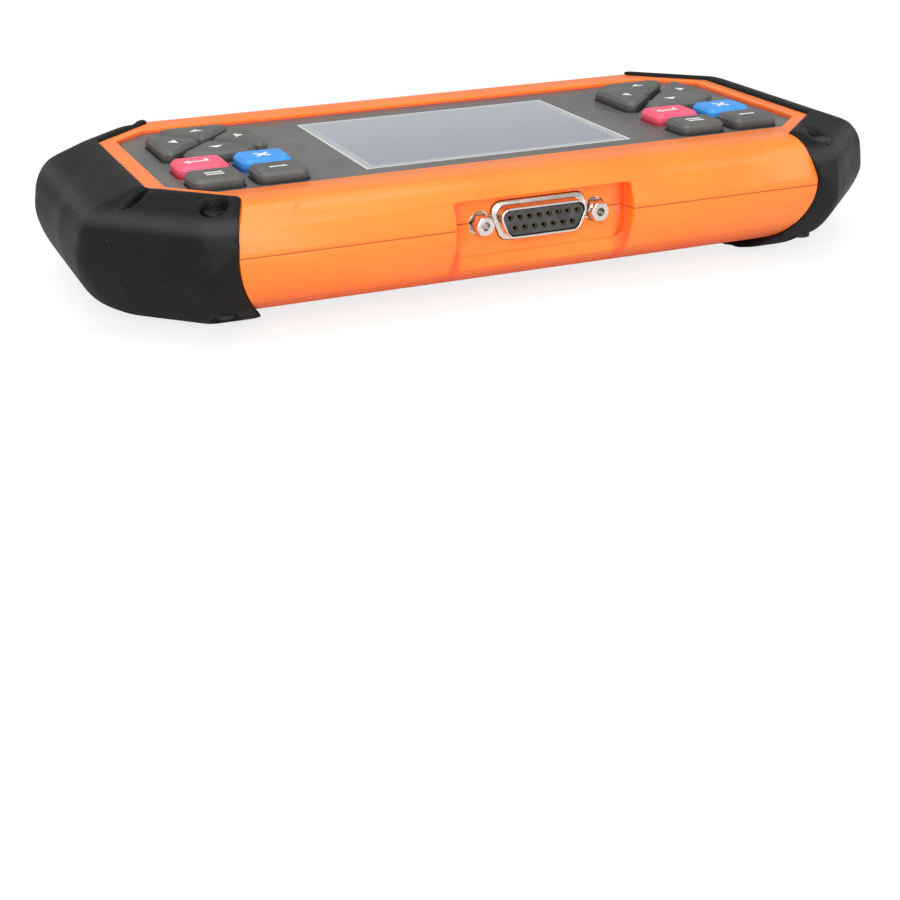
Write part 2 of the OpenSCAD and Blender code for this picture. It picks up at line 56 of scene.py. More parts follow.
# Boots: the remesh cell, the smoothing passes over everything and over what lies free of the
# shells, and the gaps to the shells between which the second kind comes in
BOOT_GRID = 0.0007
BOOT_ROLL = 6
BOOT_FLOW = 26
SMOOTH_SHARE = 0.5
FLOW_NEAR, FLOW_FAR = 0.0010, 0.0034

# Bores and strap slot of the boots
ROUND_SIDES = 64
BORE_RADIUS = 0.0035
SCREW_HEAD = 0.00125
CUTTER_SPARE = 0.01
SLOT_FLOOR = 0.0322
SLOT_SIZE = (0.0106, 0.0018, 0.01)
SLOT_X, SLOT_Y, SLOT_TURN = -0.1033, -0.0333, math.radians(29)
SLOT_EDGE = 0.0008

# Widths of the eased edges
SHELL_EDGE = 0.0004
PLATE_EDGE = 0.00015
KEY_EDGE = 0.0006
D_SHELL_EDGE = 0.00015
INSULATOR_EDGE = 0.0001
JACK_EDGE = 0.0006

# Printed symbols, and the jackscrews' width across flats with their blank's share of it
INK_SUNK = 0.00002
INK_THICK = 0.00003
JACK_FLATS = 0.00475
JACK_ROUND = 0.575

# Copies of the CAD nodes: corners closer than this are joined, and flatter edges dissolved
JOIN_GAP = 0.000002
FLAT_DEGREES = 0.6

# Noise values between which a finish goes from its one end to its other
MIDDLE = (0.3, 0.7)


# ---------------------------------------------------------------- modelling helpers

def only(piece):
    """Selects one piece and nothing else."""
    bpy.ops.object.select_all(action="DESELECT")
    piece.select_set(True)
    bpy.context.view_layer.objects.active = piece


def settle(piece, name):
    """Names a piece and puts its place into its mesh."""
    only(piece)
    piece.name = name
    piece.data.name = name
    bpy.ops.object.transform_apply(location=True, rotation=True, scale=True)
    return piece


def finish_with(piece, kind, **values):
    """Adds one modifier to a piece and applies it."""
    only(piece)
    modifier = piece.modifiers.new(kind.title(), kind)
    for key, value in values.items():
        setattr(modifier, key, value)
    bpy.ops.object.modifier_apply(modifier=modifier.name)


def ease_edges(piece, width, segments, degrees, **more):
    """Bevels the edges of a piece that turn by more than an angle."""
    finish_with(piece, "BEVEL", width=width, segments=segments, limit_method="ANGLE",
                angle_limit=math.radians(degrees), use_clamp_overlap=True, **more)


def smooth_by_angle(piece, degrees):
    only(piece)
    bpy.ops.object.shade_smooth_by_angle(angle=math.radians(degrees))


def copy_of(node, name):
    """A joined-up copy of a CAD node, free of loose triangles."""
    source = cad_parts[node]
    piece = bpy.data.objects.new(name, source.data.copy())
    bpy.context.scene.collection.objects.link(piece)
    piece.data.materials.clear()
    only(piece)
    bpy.ops.object.mode_set(mode="EDIT")
    bpy.ops.mesh.select_all(action="SELECT")
    bpy.ops.mesh.remove_doubles(threshold=JOIN_GAP)
    bpy.ops.mesh.dissolve_limited(angle_limit=math.radians(FLAT_DEGREES))
    bpy.ops.object.mode_set(mode="OBJECT")
    return piece


def place(piece, material, body="housing", instead_of=()):
    """Gives a finished piece its material, its body and the CAD nodes it stands for."""
    piece.data.materials.clear()
    piece.data.materials.append(material)
    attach(piece, body)
    if instead_of:
        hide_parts(*instead_of)


def post(x, y, low, high, radius):
    """An upright round cutter."""
    bpy.ops.object.select_all(action="DESELECT")
    bpy.ops.mesh.primitive_cylinder_add(vertices=ROUND_SIDES, radius=radius, depth=high - low,
                                        location=(x, y, (low + high) / 2))
    return bpy.context.object


def cut_with(piece, cutters, operation="DIFFERENCE"):
    """Cuts a piece with a few closed shapes and removes them."""
    for cutter in cutters:
        finish_with(piece, "BOOLEAN", object=cutter, operation=operation, solver="EXACT")
        bpy.data.objects.remove(cutter, do_unlink=True)


# ---------------------------------------------------------------- material helpers

class Finish:
    """One material being built: its nodes, its Principled shader and its object coordinates."""

    def __init__(self, name, color, roughness, **sockets):
        self.material = bpy.data.materials.new(name)
        self.material.use_nodes = True
        self.nodes = self.material.node_tree.nodes
        self.links = self.material.node_tree.links
        self.shader = self.nodes["Principled BSDF"]
        self.shader.inputs["Base Color"].default_value = (*color, 1)
        self.shader.inputs["Roughness"].default_value = roughness
        for socket, value in sockets.items():
            self.shader.inputs[socket.replace("_", " ")].default_value = value
        self.place = self.nodes.new("ShaderNodeTexCoord").outputs["Object"]
        self.material.diffuse_color = (*color, 1)

    def value(self, operation, a, b=0.0):
        node = self.nodes.new("ShaderNodeMath")
        node.operation = operation
        for socket, item in zip(node.inputs, (a, b)):
            if isinstance(item, (int, float)):
                socket.default_value = item
            else:
                self.links.new(item, socket)
        return node.outputs[0]

    def product(self, first, *others):
        for other in others:
            first = self.value("MULTIPLY", first, other)
        return first

    def apart(self, a, b):
        """How far two values are from each other."""
        return self.value("ABSOLUTE", self.value("SUBTRACT", a, b))

    def group(self, tree, **values):
        node = self.nodes.new("ShaderNodeGroup")
        node.node_tree = tree
        self.links.new(self.place, node.inputs["Place"])
        for socket, value in values.items():
            node.inputs[socket].default_value = value
        return node

    def blend(self, mask, a, b):
        """Colour a where the mask is 0 and colour b where it is 1."""
        node = self.nodes.new("ShaderNodeMix")
        node.data_type = "RGBA"
        self.links.new(mask, node.inputs["Factor"])
        for socket, item in ((node.inputs[6], a), (node.inputs[7], b)):
            if isinstance(item, tuple):
                socket.default_value = (*item, 1)
            else:
                self.links.new(item, socket)
        return node.outputs[2]

    def between(self, source, low, high, to_low=0.0, to_high=1.0):
        """Goes smoothly from to_low, where the source is low, to to_high, where it is high."""
        node = self.nodes.new("ShaderNodeMapRange")
        node.interpolation_type = "SMOOTHSTEP"
        self.links.new(source, node.inputs["Value"])
        node.inputs["From Min"].default_value = low
        node.inputs["From Max"].default_value = high
        node.inputs["To Min"].default_value = to_low
        node.inputs["To Max"].default_value = to_high
        return node.outputs[0]

    def fading(self, source, low, high):
        """A mask that is 1 up to low and 0 from high on."""
        return self.between(source, low, high, 1.0, 0.0)

    def axes(self):
        node = self.nodes.new("ShaderNodeSeparateXYZ")
        self.links.new(self.place, node.inputs[0])
        return node.outputs

    def relief(self, height, depth, strength=1.0, under=None):
        """Bump of a real depth in metres; under is a bump that lies below it."""
        node = self.nodes.new("ShaderNodeBump")
        node.inputs["Strength"].default_value = strength
        node.inputs["Distance"].default_value = depth
        self.links.new(height, node.inputs["Height"])
        if under is not None:
            self.links.new(under, node.inputs["Normal"])
        return node.outputs["Normal"]

    def color_from(self, socket):
        self.links.new(socket, self.shader.inputs["Base Color"])

    def roughness_from(self, socket):
        self.links.new(socket, self.shader.inputs["Roughness"])

    def normal_from(self, socket):
        self.links.new(socket, self.shader.inputs["Normal"])


def new_tree(name, inputs, outputs):
    tree = bpy.data.node_groups.new(name, "ShaderNodeTree")
    for label, kind, value in inputs:
        socket = tree.interface.new_socket(name=label, in_out="INPUT", socket_type=kind)
        if value is not None:
            socket.default_value = value
    for label, kind in outputs:
        tree.interface.new_socket(name=label, in_out="OUTPUT", socket_type=kind)
    entry = tree.nodes.new("NodeGroupInput")
    leave = tree.nodes.new("NodeGroupOutput")
    return tree, entry.outputs, leave.inputs


def moulded_grain():
    """Fine spark-eroded grain of a moulded surface, with a slow waviness under it."""
    tree, given, out = new_tree("moulded_grain",
                                [("Place", "NodeSocketVector", None),
                                 ("Grain", "NodeSocketFloat", 3000.0),
                                 ("Wave", "NodeSocketFloat", 60.0)],
                                [("Height", "NodeSocketFloat"), ("Slow", "NodeSocketFloat")])
    fine = tree.nodes.new("ShaderNodeTexNoise")
    fine.inputs["Detail"].default_value = 3
    slow = tree.nodes.new("ShaderNodeTexNoise")
    slow.inputs["Detail"].default_value = 2
    tree.links.new(given["Place"], fine.inputs["Vector"])
    tree.links.new(given["Grain"], fine.inputs["Scale"])
    tree.links.new(given["Place"], slow.inputs["Vector"])
    tree.links.new(given["Wave"], slow.inputs["Scale"])
    tree.links.new(fine.outputs["Fac"], out["Height"])
    tree.links.new(slow.outputs["Fac"], out["Slow"])
    return tree


def dust_specks():
    """Small pale specks, gathered in patches, as a mask."""
    tree, given, out = new_tree("dust_specks",
                                [("Place", "NodeSocketVector", None),
                                 ("Spacing", "NodeSocketFloat", 220.0),
                                 ("Size", "NodeSocketFloat", 0.055)],
                                [("Mask", "NodeSocketFloat")])
    cells = tree.nodes.new("ShaderNodeTexVoronoi")
    cells.inputs["Randomness"].default_value = 1
    tree.links.new(given["Place"], cells.inputs["Vector"])
    tree.links.new(given["Spacing"], cells.inputs["Scale"])
    near = tree.nodes.new("ShaderNodeMath")
    near.operation = "LESS_THAN"
    tree.links.new(cells.outputs["Distance"], near.inputs[0])
    tree.links.new(given["Size"], near.inputs[1])
    patch = tree.nodes.new("ShaderNodeTexNoise")
    patch.inputs["Scale"].default_value = 34
    patch.inputs["Detail"].default_value = 4
    tree.links.new(given["Place"], patch.inputs["Vector"])
    some = tree.nodes.new("ShaderNodeMapRange")
    some.inputs["From Min"].default_value = 0.52
    some.inputs["From Max"].default_value = 0.66
    tree.links.new(patch.outputs["Fac"], some.inputs["Value"])
    both = tree.nodes.new("ShaderNodeMath")
    both.operation = "MULTIPLY"
    tree.links.new(near.outputs[0], both.inputs[0])
    tree.links.new(some.outputs[0], both.inputs[1])
    tree.links.new(both.outputs[0], out["Mask"])
    return tree


def handling_wear():
    """Uneven sheen from handling: broad smears and thin rubbed marks."""
    tree, given, out = new_tree("handling_wear",
                                [("Place", "NodeSocketVector", None),
                                 ("Smear", "NodeSocketFloat", 45.0)],
                                [("Smears", "NodeSocketFloat"), ("Rubs", "NodeSocketFloat")])
    smear = tree.nodes.new("ShaderNodeTexNoise")
    smear.inputs["Detail"].default_value = 5
    smear.inputs["Distortion"].default_value = 0.6
    tree.links.new(given["Place"], smear.inputs["Vector"])
    tree.links.new(given["Smear"], smear.inputs["Scale"])
    stretch = tree.nodes.new("ShaderNodeMapping")
    stretch.inputs["Scale"].default_value = (60, 420, 260)
    stretch.inputs["Rotation"].default_value = (0.2, 0.3, 0.5)
    tree.links.new(given["Place"], stretch.inputs["Vector"])
    rub = tree.nodes.new("ShaderNodeTexNoise")
    rub.inputs["Scale"].default_value = 1
    rub.inputs["Detail"].default_value = 6
    tree.links.new(stretch.outputs[0], rub.inputs["Vector"])
    sharp = tree.nodes.new("ShaderNodeMapRange")
    sharp.inputs["From Min"].default_value = 0.62
    sharp.inputs["From Max"].default_value = 0.74
    tree.links.new(rub.outputs["Fac"], sharp.inputs["Value"])
    tree.links.new(smear.outputs["Fac"], out["Smears"])
    tree.links.new(sharp.outputs[0], out["Rubs"])
    return tree


GRAIN = moulded_grain()
DUST = dust_specks()
WEAR = handling_wear()


# ---------------------------------------------------------------- finishes

def orange_plastic():
    """Orange shells: a joint groove with painted shade in it, hollows painted redder as shade and
    the shallow step above the connector.
    """
    groove_reach = (0.00006, 0.00022)
    groove_depth = 0.0003
    pocket_from, pocket_to = (0.0208, 0.0250), (POCKET_HX - 0.0001, POCKET_HX + 0.0007)
    pocket_back, pocket_top = (-0.0579, -0.0545), (0.0295, 0.0312)
    rim_top = (PLATE_TOP + 0.00005, PLATE_TOP + 0.0008)
    rim_foot = (PLATE_TOP - 0.002, PLATE_TOP - 0.001)
    rim_side = (0.0394, 0.0398)
    belly_top = (0.006, 0.014)
    step_end_x, step_line_y, step_reach = 0.0640, 0.0562, (0.0032, 0.0046)
    step_foot, step_back, step_depth = (0.0322, 0.0350), (-0.0400, -0.0450), 0.0005

    f = Finish("orange_abs", (1.0, 0.22, 0.02), 0.4, Specular_IOR_Level=0.5, Coat_Weight=0.2,
               Coat_Roughness=0.28)
    grain = f.group(GRAIN, Grain=2600.0, Wave=38.0)
    wear = f.group(WEAR, Smear=55.0)
    x, y, z = f.axes()
    across = f.value("ABSOLUTE", x)
    # the joint between the two shells shows as a thin groove, bumped in, with painted shade
    # darkening its colour
    groove_and_shade = f.fading(f.apart(z, SPLIT_Z), *groove_reach)
    # painted shade: the colour is painted a deeper red where the orange faces itself, for the shade
    # and red bounce light there: pocket sides, rim wall, belly
    pocket_shade = f.product(f.between(across, *pocket_from), f.fading(across, *pocket_to),
                       f.between(y, *pocket_back), f.fading(z, *pocket_top))
    rim = f.product(f.fading(z, *rim_top), f.between(z, *rim_foot))
    inside = f.product(rim, f.fading(f.value("ABSOLUTE", y), *rim_side))
    belly_shade = f.product(f.fading(z, *belly_top), 0.45)
    painted_light = f.value("MAXIMUM", f.product(pocket_shade, 0.8), f.value("MAXIMUM", inside, belly_shade))
    warm = f.blend(f.between(grain.outputs["Slow"], 0.35, 0.65),
                   (1.0, 0.20, 0.013), (1.0, 0.225, 0.018))
    dusty = f.blend(f.product(wear.outputs["Rubs"], 0.08), warm, (1.0, 0.36, 0.12))
    with_painted_shade = f.blend(painted_light, dusty, (1.0, 0.075, 0.004))
    # painted shade: the joint groove is darkened to a deep red
    f.color_from(f.blend(f.product(groove_and_shade, 0.7), with_painted_shade, (0.42, 0.05, 0.006)))
    f.roughness_from(f.between(wear.outputs["Smears"], *MIDDLE, 0.36, 0.46))
    base = f.relief(grain.outputs["Height"], 0.00003, 0.35)
    # the shallow step along the shoulder above the connector, its ends curving down
    end = f.value("MAXIMUM", f.value("SUBTRACT", across, step_end_x), 0.0)
    out = f.value("MAXIMUM", f.value("ADD", y, step_line_y), 0.0)
    reach = f.value("SQRT", f.value("ADD", f.product(end, end), f.product(out, out)))
    step = f.product(f.between(reach, *step_reach), f.between(z, *step_foot),
                     f.between(y, *step_back))
    base = f.relief(step, step_depth, 1.0, base)
    f.normal_from(f.relief(f.value("SUBTRACT", 1.0, groove_and_shade), groove_depth, 0.8, base))
    return f.material


def boot_rubber():
    """Black rubber: dusty and rubbed, its top land painted darker as shade and the fold below it
    painted paler as a highlight.
    """
    land_foot = (0.0322, 0.0340)
    fold_reach = (0.0, 0.0030)

    f = Finish("boot_rubber", (0.010, 0.010, 0.0105), 0.5, Specular_IOR_Level=0.14)
    grain = f.group(GRAIN, Grain=2200.0, Wave=30.0)
    wear = f.group(WEAR, Smear=40.0)
    dust = f.group(DUST, Spacing=210.0, Size=0.06)
    z = f.axes()["Z"]
    # painted shade: the top land is darker
    land_shade = f.between(z, *land_foot)
    # painted highlight: a paler band along the fold below the land
    fold_highlight = f.fading(f.apart(z, FOLD_Z), *fold_reach)
    body = f.blend(f.between(grain.outputs["Slow"], *MIDDLE),
                   (0.0085, 0.0085, 0.009), (0.0125, 0.0125, 0.013))
    land_shaded = f.blend(land_shade, body, (0.0075, 0.0075, 0.0078))
    fold_highlighted = f.blend(f.product(fold_highlight, 0.6), land_shaded, (0.05, 0.05, 0.055))
    rubbed = f.blend(f.product(wear.outputs["Rubs"], 0.15), fold_highlighted, (0.05, 0.05, 0.052))
    f.color_from(f.blend(f.product(dust.outputs["Mask"], 0.4), rubbed, (0.18, 0.18, 0.18)))
    f.roughness_from(f.between(wear.outputs["Smears"], *MIDDLE, 0.44, 0.56))
    f.normal_from(f.relief(grain.outputs["Height"], 0.00005, 0.5))
    return f.material


def plate_plastic():
    f = Finish("faceplate_satin", (0.15, 0.15, 0.144), 0.42, Specular_IOR_Level=0.5)
    grain = f.group(GRAIN, Grain=4200.0, Wave=50.0)
    wear = f.group(WEAR, Smear=60.0)
    dust = f.group(DUST, Spacing=260.0, Size=0.045)
    tone = f.blend(f.between(grain.outputs["Slow"], *MIDDLE),
                   (0.115, 0.115, 0.110), (0.132, 0.132, 0.126))
    f.color_from(f.blend(f.product(dust.outputs["Mask"], 0.25), tone, (0.3, 0.3, 0.29)))
    f.roughness_from(f.between(wear.outputs["Smears"], *MIDDLE, 0.38, 0.5))
    f.normal_from(f.relief(grain.outputs["Height"], 0.00003, 0.5))
    return f.material


def window_glass():
    """Display window: a grey display area painted lighter towards the back as a reflection, an even
    pale margin round it and a bright painted highlight along its cut edge.
    """
    margin_in = (0.0026, 0.0031)
    edge_in = (0.0004, 0.0008)

    f = Finish("display_glass", (0.42, 0.455, 0.53), 0.07, Specular_IOR_Level=0.6)
    wear = f.group(WEAR, Smear=70.0)
    x, y = f.axes()[:2]
    half = (WINDOW_HIGH - WINDOW_LOW) / 2
    middle = (WINDOW_HIGH + WINDOW_LOW) / 2
    inwards = f.value("MINIMUM", f.value("SUBTRACT", half.x, f.apart(x, middle.x)),
                      f.value("SUBTRACT", half.y, f.apart(y, middle.y)))
    margin = f.fading(inwards, *margin_in)
    edge_highlight = f.fading(inwards, *edge_in)
    # painted reflection: the display area grows lighter towards the back
    painted_light = f.between(y, WINDOW_LOW.y, WINDOW_HIGH.y)
    picture = f.blend(painted_light, (0.27, 0.30, 0.36), (0.36, 0.39, 0.44))
    framed = f.blend(margin, picture, (0.42, 0.44, 0.46))
    # painted highlight along the cut edge of the window
    f.color_from(f.blend(edge_highlight, framed, (0.72, 0.74, 0.74)))
    f.roughness_from(f.between(wear.outputs["Smears"], 0.35, 0.75, 0.06, 0.16))
    return f.material


def key_silicone(name, dark, light, side):
    """Silicone key: satin top, its sides painted darker towards the plate as shade."""
    f = Finish(name, light, 0.45, Specular_IOR_Level=0.5)
    grain = f.group(GRAIN, Grain=3400.0, Wave=90.0)
    dust = f.group(DUST, Spacing=330.0, Size=0.05)
    # painted shade: the key's sides turn to the darker side colour near the plate
    low = f.fading(f.axes()["Z"], PLATE_TOP + 0.0002, PLATE_TOP + 0.0017)
    tone = f.blend(f.between(grain.outputs["Slow"], *MIDDLE), dark, light)
    painted_light = f.blend(low, tone, side)
    f.color_from(f.blend(f.product(dust.outputs["Mask"], 0.3), painted_light, (0.5, 0.5, 0.5)))
    f.roughness_from(f.between(grain.outputs["Height"], *MIDDLE, 0.4, 0.52))
    f.normal_from(f.relief(grain.outputs["Height"], 0.00003, 0.4))
    return f.material


def legend_ink():
    f = Finish("legend_ink", (0.84, 0.84, 0.82), 0.5)
    grain = f.group(GRAIN, Grain=5000.0, Wave=400.0)
    f.color_from(f.blend(f.between(grain.outputs["Slow"], 0.3, 0.75),
                         (0.86, 0.86, 0.84), (0.7, 0.7, 0.69)))
    f.roughness_from(f.between(grain.outputs["Height"], *MIDDLE, 0.45, 0.6))
    return f.material


def plated_metal(name, color, roughness, brush):
    f = Finish(name, color, roughness, Metallic=1.0)
    grain = f.group(GRAIN, Grain=brush, Wave=180.0)
    wear = f.group(WEAR, Smear=160.0)
    dull = tuple(0.8 * c for c in color)
    f.color_from(f.blend(f.between(wear.outputs["Smears"], 0.45, 0.75), color, dull))
    f.roughness_from(f.between(grain.outputs["Slow"], *MIDDLE, roughness * 0.7, roughness * 1.4))
    f.normal_from(f.relief(grain.outputs["Height"], 0.00002, 0.4))
    return f.material


def moulded_black(name, color, roughness):
    f = Finish(name, color, roughness)
    grain = f.group(GRAIN, Grain=3800.0, Wave=220.0)
    pale = tuple(1.5 * c for c in color)
    f.color_from(f.blend(f.between(grain.outputs["Slow"], *MIDDLE), color, pale))
    f.roughness_from(f.between(grain.outputs["Height"], *MIDDLE, roughness * 0.9, roughness * 1.15))
    f.normal_from(f.relief(grain.outputs["Height"], 0.00003, 0.4))
    return f.material


def board_mask():
    f = Finish("board_green", (0.02, 0.16, 0.07), 0.35)
    tracks = f.nodes.new("ShaderNodeTexBrick")
    tracks.inputs["Scale"].default_value = 260
    tracks.inputs["Mortar Size"].default_value = 0.05
    f.links.new(f.place, tracks.inputs["Vector"])
    f.color_from(f.blend(tracks.outputs["Fac"], (0.014, 0.12, 0.05), (0.03, 0.22, 0.09)))
    f.normal_from(f.relief(tracks.outputs["Fac"], 0.00004, 0.5))
    return f.material


ORANGE = orange_plastic()
RUBBER = boot_rubber()
PLATE = plate_plastic()
GLASS = window_glass()
# each key's third colour is its side colour, painted darker as shade
KEY_GREY = key_silicone("key_grey", (0.082, 0.081, 0.077), (0.105, 0.104, 0.098),
                        (0.035, 0.035, 0.034))
KEY_RED = key_silicone("key_red", (0.82, 0.08, 0.155), (0.90, 0.105, 0.19), (0.52, 0.015, 0.045))
KEY_BLUE = key_silicone("key_blue", (0.03, 0.27, 0.74), (0.045, 0.33, 0.82), (0.012, 0.09, 0.42))
INK = legend_ink()
KEY_FINISH = {"enter": (KEY_RED, "key_red"), "escape": (KEY_BLUE, "key_blue")}
NICKEL = plated_metal("nickel_plate", (0.78, 0.74, 0.69), 0.2, 2400.0)
TINNED = plated_metal("tinned_steel", (0.72, 0.72, 0.71), 0.3, 3000.0)
SCREW = plated_metal("dark_zinc", (0.05, 0.05, 0.053), 0.45, 2600.0)
GOLD = plated_metal("contact_gold", (0.22, 0.15, 0.06), 0.4, 3000.0)
BLACK = moulded_black("insulator_black", (0.032, 0.032, 0.033), 0.5)
MAT = moulded_black("mat_rubber", (0.16, 0.16, 0.16), 0.6)
PANEL = moulded_black("display_panel", (0.10, 0.12, 0.15), 0.25)
BOARD = board_mask()


# ---------------------------------------------------------------- boots

def flow_weights(piece, name, neighbours):
    """Weights that fade to 0 where a boot seats on the shells, so that its lips keep their line."""
    trees = []
    for node in neighbours:
        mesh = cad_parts[node].data
        trees.append(BVHTree.FromPolygons([v.co.copy() for v in mesh.vertices],
                                          [tuple(p.vertices) for p in mesh.polygons]))
    flow = piece.vertex_groups.new(name=name)
    for vertex in piece.data.vertices:
        gap = min(tree.find_nearest(vertex.co)[3] for tree in trees)
        weight = min(1.0, max(0.0, (gap - FLOW_NEAR) / (FLOW_FAR - FLOW_NEAR)))
        if weight > 0:
            flow.add([vertex.index], weight, "REPLACE")


def screw_axes(node, side):
    """Upright axes of the screws that hold one boot, from the middles of their heads."""
    sign = -1 if side == "left" else 1
    corners = [v.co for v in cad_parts[node].data.vertices if v.co.x * sign > 0]
    axes = []
    for half in (-1, 1):
        ring = [c for c in corners if c.y * half > 0]
        axes.append(((min(c.x for c in ring) + max(c.x for c in ring)) / 2,
                     (min(c.y for c in ring) + max(c.y for c in ring)) / 2))
    return axes


def rounded_boot(side):
    """A rubber boot: folds and lips rolled over, the bores and the left one's slot cut clean."""
    node = side + "_boot"
    boot = copy_of(node, node + "_moulded")
    finish_with(boot, "REMESH", mode="VOXEL", voxel_size=BOOT_GRID)
    finish_with(boot, "SMOOTH", factor=SMOOTH_SHARE, iterations=BOOT_ROLL)
    flow_weights(boot, "flow", ["upper_shell", "lower_shell"])
    finish_with(boot, "SMOOTH", factor=SMOOTH_SHARE, iterations=BOOT_FLOW, vertex_group="flow")
    seat_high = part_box("top_screws")[1].z - SCREW_HEAD
    seat_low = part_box("bottom_screws")[0].z + SCREW_HEAD
    cutters = [post(x, y, seat_high, SHOULDER_Z + CUTTER_SPARE, BORE_RADIUS)
               for x, y in screw_axes("top_screws", side)]
    cutters += [post(x, y, BASE_Z - CUTTER_SPARE, seat_low, BORE_RADIUS)
                for x, y in screw_axes("bottom_screws", side)]
    if side == "left":
        bpy.ops.object.select_all(action="DESELECT")
        bpy.ops.mesh.primitive_cube_add(size=1, scale=SLOT_SIZE, rotation=(0, 0, SLOT_TURN),
                                        location=(SLOT_X, SLOT_Y, SLOT_FLOOR + SLOT_SIZE[2] / 2))
        slot = bpy.context.object
        finish_with(slot, "BEVEL", width=SLOT_EDGE, segments=4, limit_method="ANGLE")
        cutters.append(slot)
    cut_with(boot, cutters)
    smooth_by_angle(boot, 42)
    place(boot, RUBBER, instead_of=[node])


# ---------------------------------------------------------------- shells and plate

def eased_shell(node):
    """A shell with its cut edges eased and its rolled faces shaded round."""
    shell = copy_of(node, node + "_eased")
    ease_edges(shell, SHELL_EDGE, 2, 35, miter_outer="MITER_ARC")
    smooth_by_angle(shell, 30)
    place(shell, ORANGE, instead_of=[node])


def eased_plate():
    plate = copy_of("faceplate", "faceplate_eased")
    ease_edges(plate, PLATE_EDGE, 2, 50)
    smooth_by_angle(plate, 30)
    place(plate, PLATE, instead_of=["faceplate"])


# ---------------------------------------------------------------- keys

def soft_key(node, material):
    """A silicone key with the edges of its bevelled top rolled over."""
    key = copy_of(node, node + "_cap")
    ease_edges(key, KEY_EDGE, 4, 28)
    smooth_by_angle(key, 35)
    place(key, material, body=node, instead_of=[node])


# Key symbols in millimetres, as (kind, x, y, width, height, turn in degrees)
ARROW_OUT = 1.15
ARROW = (4.2, 2.5)
CROSS_OUT = 1.096
SYMBOLS = {
    "up": [("wedge", 0, ARROW_OUT, *ARROW, 0)],
    "down": [("wedge", 0, -ARROW_OUT, *ARROW, 180)],
    "left": [("wedge", -ARROW_OUT, 0, *ARROW, 90)],
    "right": [("wedge", ARROW_OUT, 0, *ARROW, -90)],
    "enter": [("bar", 0, 0, 5.2, 1, 0), ("bar", 2.1, 1.35, 1, 1.7, 0),
              ("wedge", -3.5, 0, 3.4, 1.8, 90)],
    "escape": [("bar", 0, 0, 5.2, 1, 45), ("bar", -CROSS_OUT, CROSS_OUT, 1, 2.1, 45),
               ("bar", CROSS_OUT, -CROSS_OUT, 1, 2.1, 45)],
    "one": [("bar", 0, 0, 4.8, 1, 0)],
    "two": [("bar", 0, -1, 4.8, 1, 0), ("bar", 0, 1, 4.8, 1, 0)],
}


def symbol(name, marks, center, top):
    """A printed symbol of thin raised ink, laid out from bars and wedges on a key's top."""
    parts = []
    for kind, x, y, width, height, turn in marks:
        turn = math.radians(turn)
        bpy.ops.object.select_all(action="DESELECT")
        if kind == "bar":
            bpy.ops.mesh.primitive_plane_add(size=MM)
            scale = (width, height, 1)
        else:
            # a three-sided circle points along y, its centre a sixth of its height too low
            bpy.ops.mesh.primitive_circle_add(vertices=3, radius=MM, fill_type="NGON")
            scale = (width / math.sqrt(3), height / 1.5, 1)
            x += math.sin(turn) * height / 6
            y -= math.cos(turn) * height / 6
        mark = bpy.context.object
        mark.location = (center.x + x * MM, center.y + y * MM, top - INK_SUNK)
        mark.rotation_euler.z = turn
        mark.scale = scale
        parts.append(mark)
    only(parts[0])
    for mark in parts[1:]:
        mark.select_set(True)
    if len(parts) > 1:
        bpy.ops.object.join()
    ink = settle(parts[0], name)
    bpy.ops.object.mode_set(mode="EDIT")
    bpy.ops.mesh.select_all(action="SELECT")
    bpy.ops.mesh.extrude_region_move(TRANSFORM_OT_translate={"value": (0, 0, INK_THICK)})
    bpy.ops.mesh.select_all(action="SELECT")
    bpy.ops.mesh.normals_make_consistent(inside=False)
    bpy.ops.object.mode_set(mode="OBJECT")
    return ink


def add_keys():
    for side in SIDES:
        for name, marks in SYMBOLS.items():
            node = side + "_key_" + name
            material, slot = KEY_FINISH.get(name, (KEY_GREY, "key_grey"))
            soft_key(node, material)
            low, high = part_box(node)
            ink = symbol(node + "_symbol", marks, (low + high) / 2, high.z)
            place(ink, INK, body=node)


# ---------------------------------------------------------------- connector and inner parts

def eased_part(node, name, material, width):
    """A part of the connector with its cut edges eased."""
    piece = copy_of(node, name)
    ease_edges(piece, width, 2, 30)
    smooth_by_angle(piece, 30)
    place(piece, material, instead_of=[node])


def turned_jackscrews():
    """The two hex posts beside the plug face, their ends turned to a round chamfer."""
    posts = copy_of("jackscrews", "hex_jackscrews")
    low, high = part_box("jackscrews")
    rounds = []
    for side in (-1, 1):
        center = (side * (high.x - JACK_FLATS / math.sqrt(3)),
                  (low.y + high.y) / 2, (low.z + high.z) / 2)
        bpy.ops.object.select_all(action="DESELECT")
        bpy.ops.mesh.primitive_cylinder_add(vertices=ROUND_SIDES, radius=JACK_FLATS * JACK_ROUND,
                                            depth=high.y - low.y, location=center,
                                            rotation=(math.radians(90), 0, 0))
        blank = bpy.context.object
        finish_with(blank, "BEVEL", width=JACK_EDGE, segments=3, limit_method="ANGLE")
        rounds.append(blank)
    both = rounds[0]
    only(both)
    rounds[1].select_set(True)
    bpy.ops.object.join()
    cut_with(posts, [both], "INTERSECT")
    smooth_by_angle(posts, 30)
    place(posts, NICKEL, instead_of=["jackscrews"])


def paint(node, material):
    """Gives a CAD node that keeps its own shape a better finish."""
    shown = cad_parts[node]
    shown.data.materials.clear()
    shown.data.materials.append(material)


# ---------------------------------------------------------------- studio

def softbox(name, spot, aim, size, watts):
    """A rectangular area light that points at a spot."""
    bpy.ops.object.select_all(action="DESELECT")
    bpy.ops.object.light_add(type="AREA", location=spot)
    lamp = bpy.context.object
    lamp.name = name
    lamp.data.shape = "RECTANGLE"
    lamp.data.size, lamp.data.size_y = size
    lamp.data.energy = watts
    lamp.rotation_euler = (Vector(aim) - Vector(spot)).to_track_quat("-Z", "Y").to_euler()


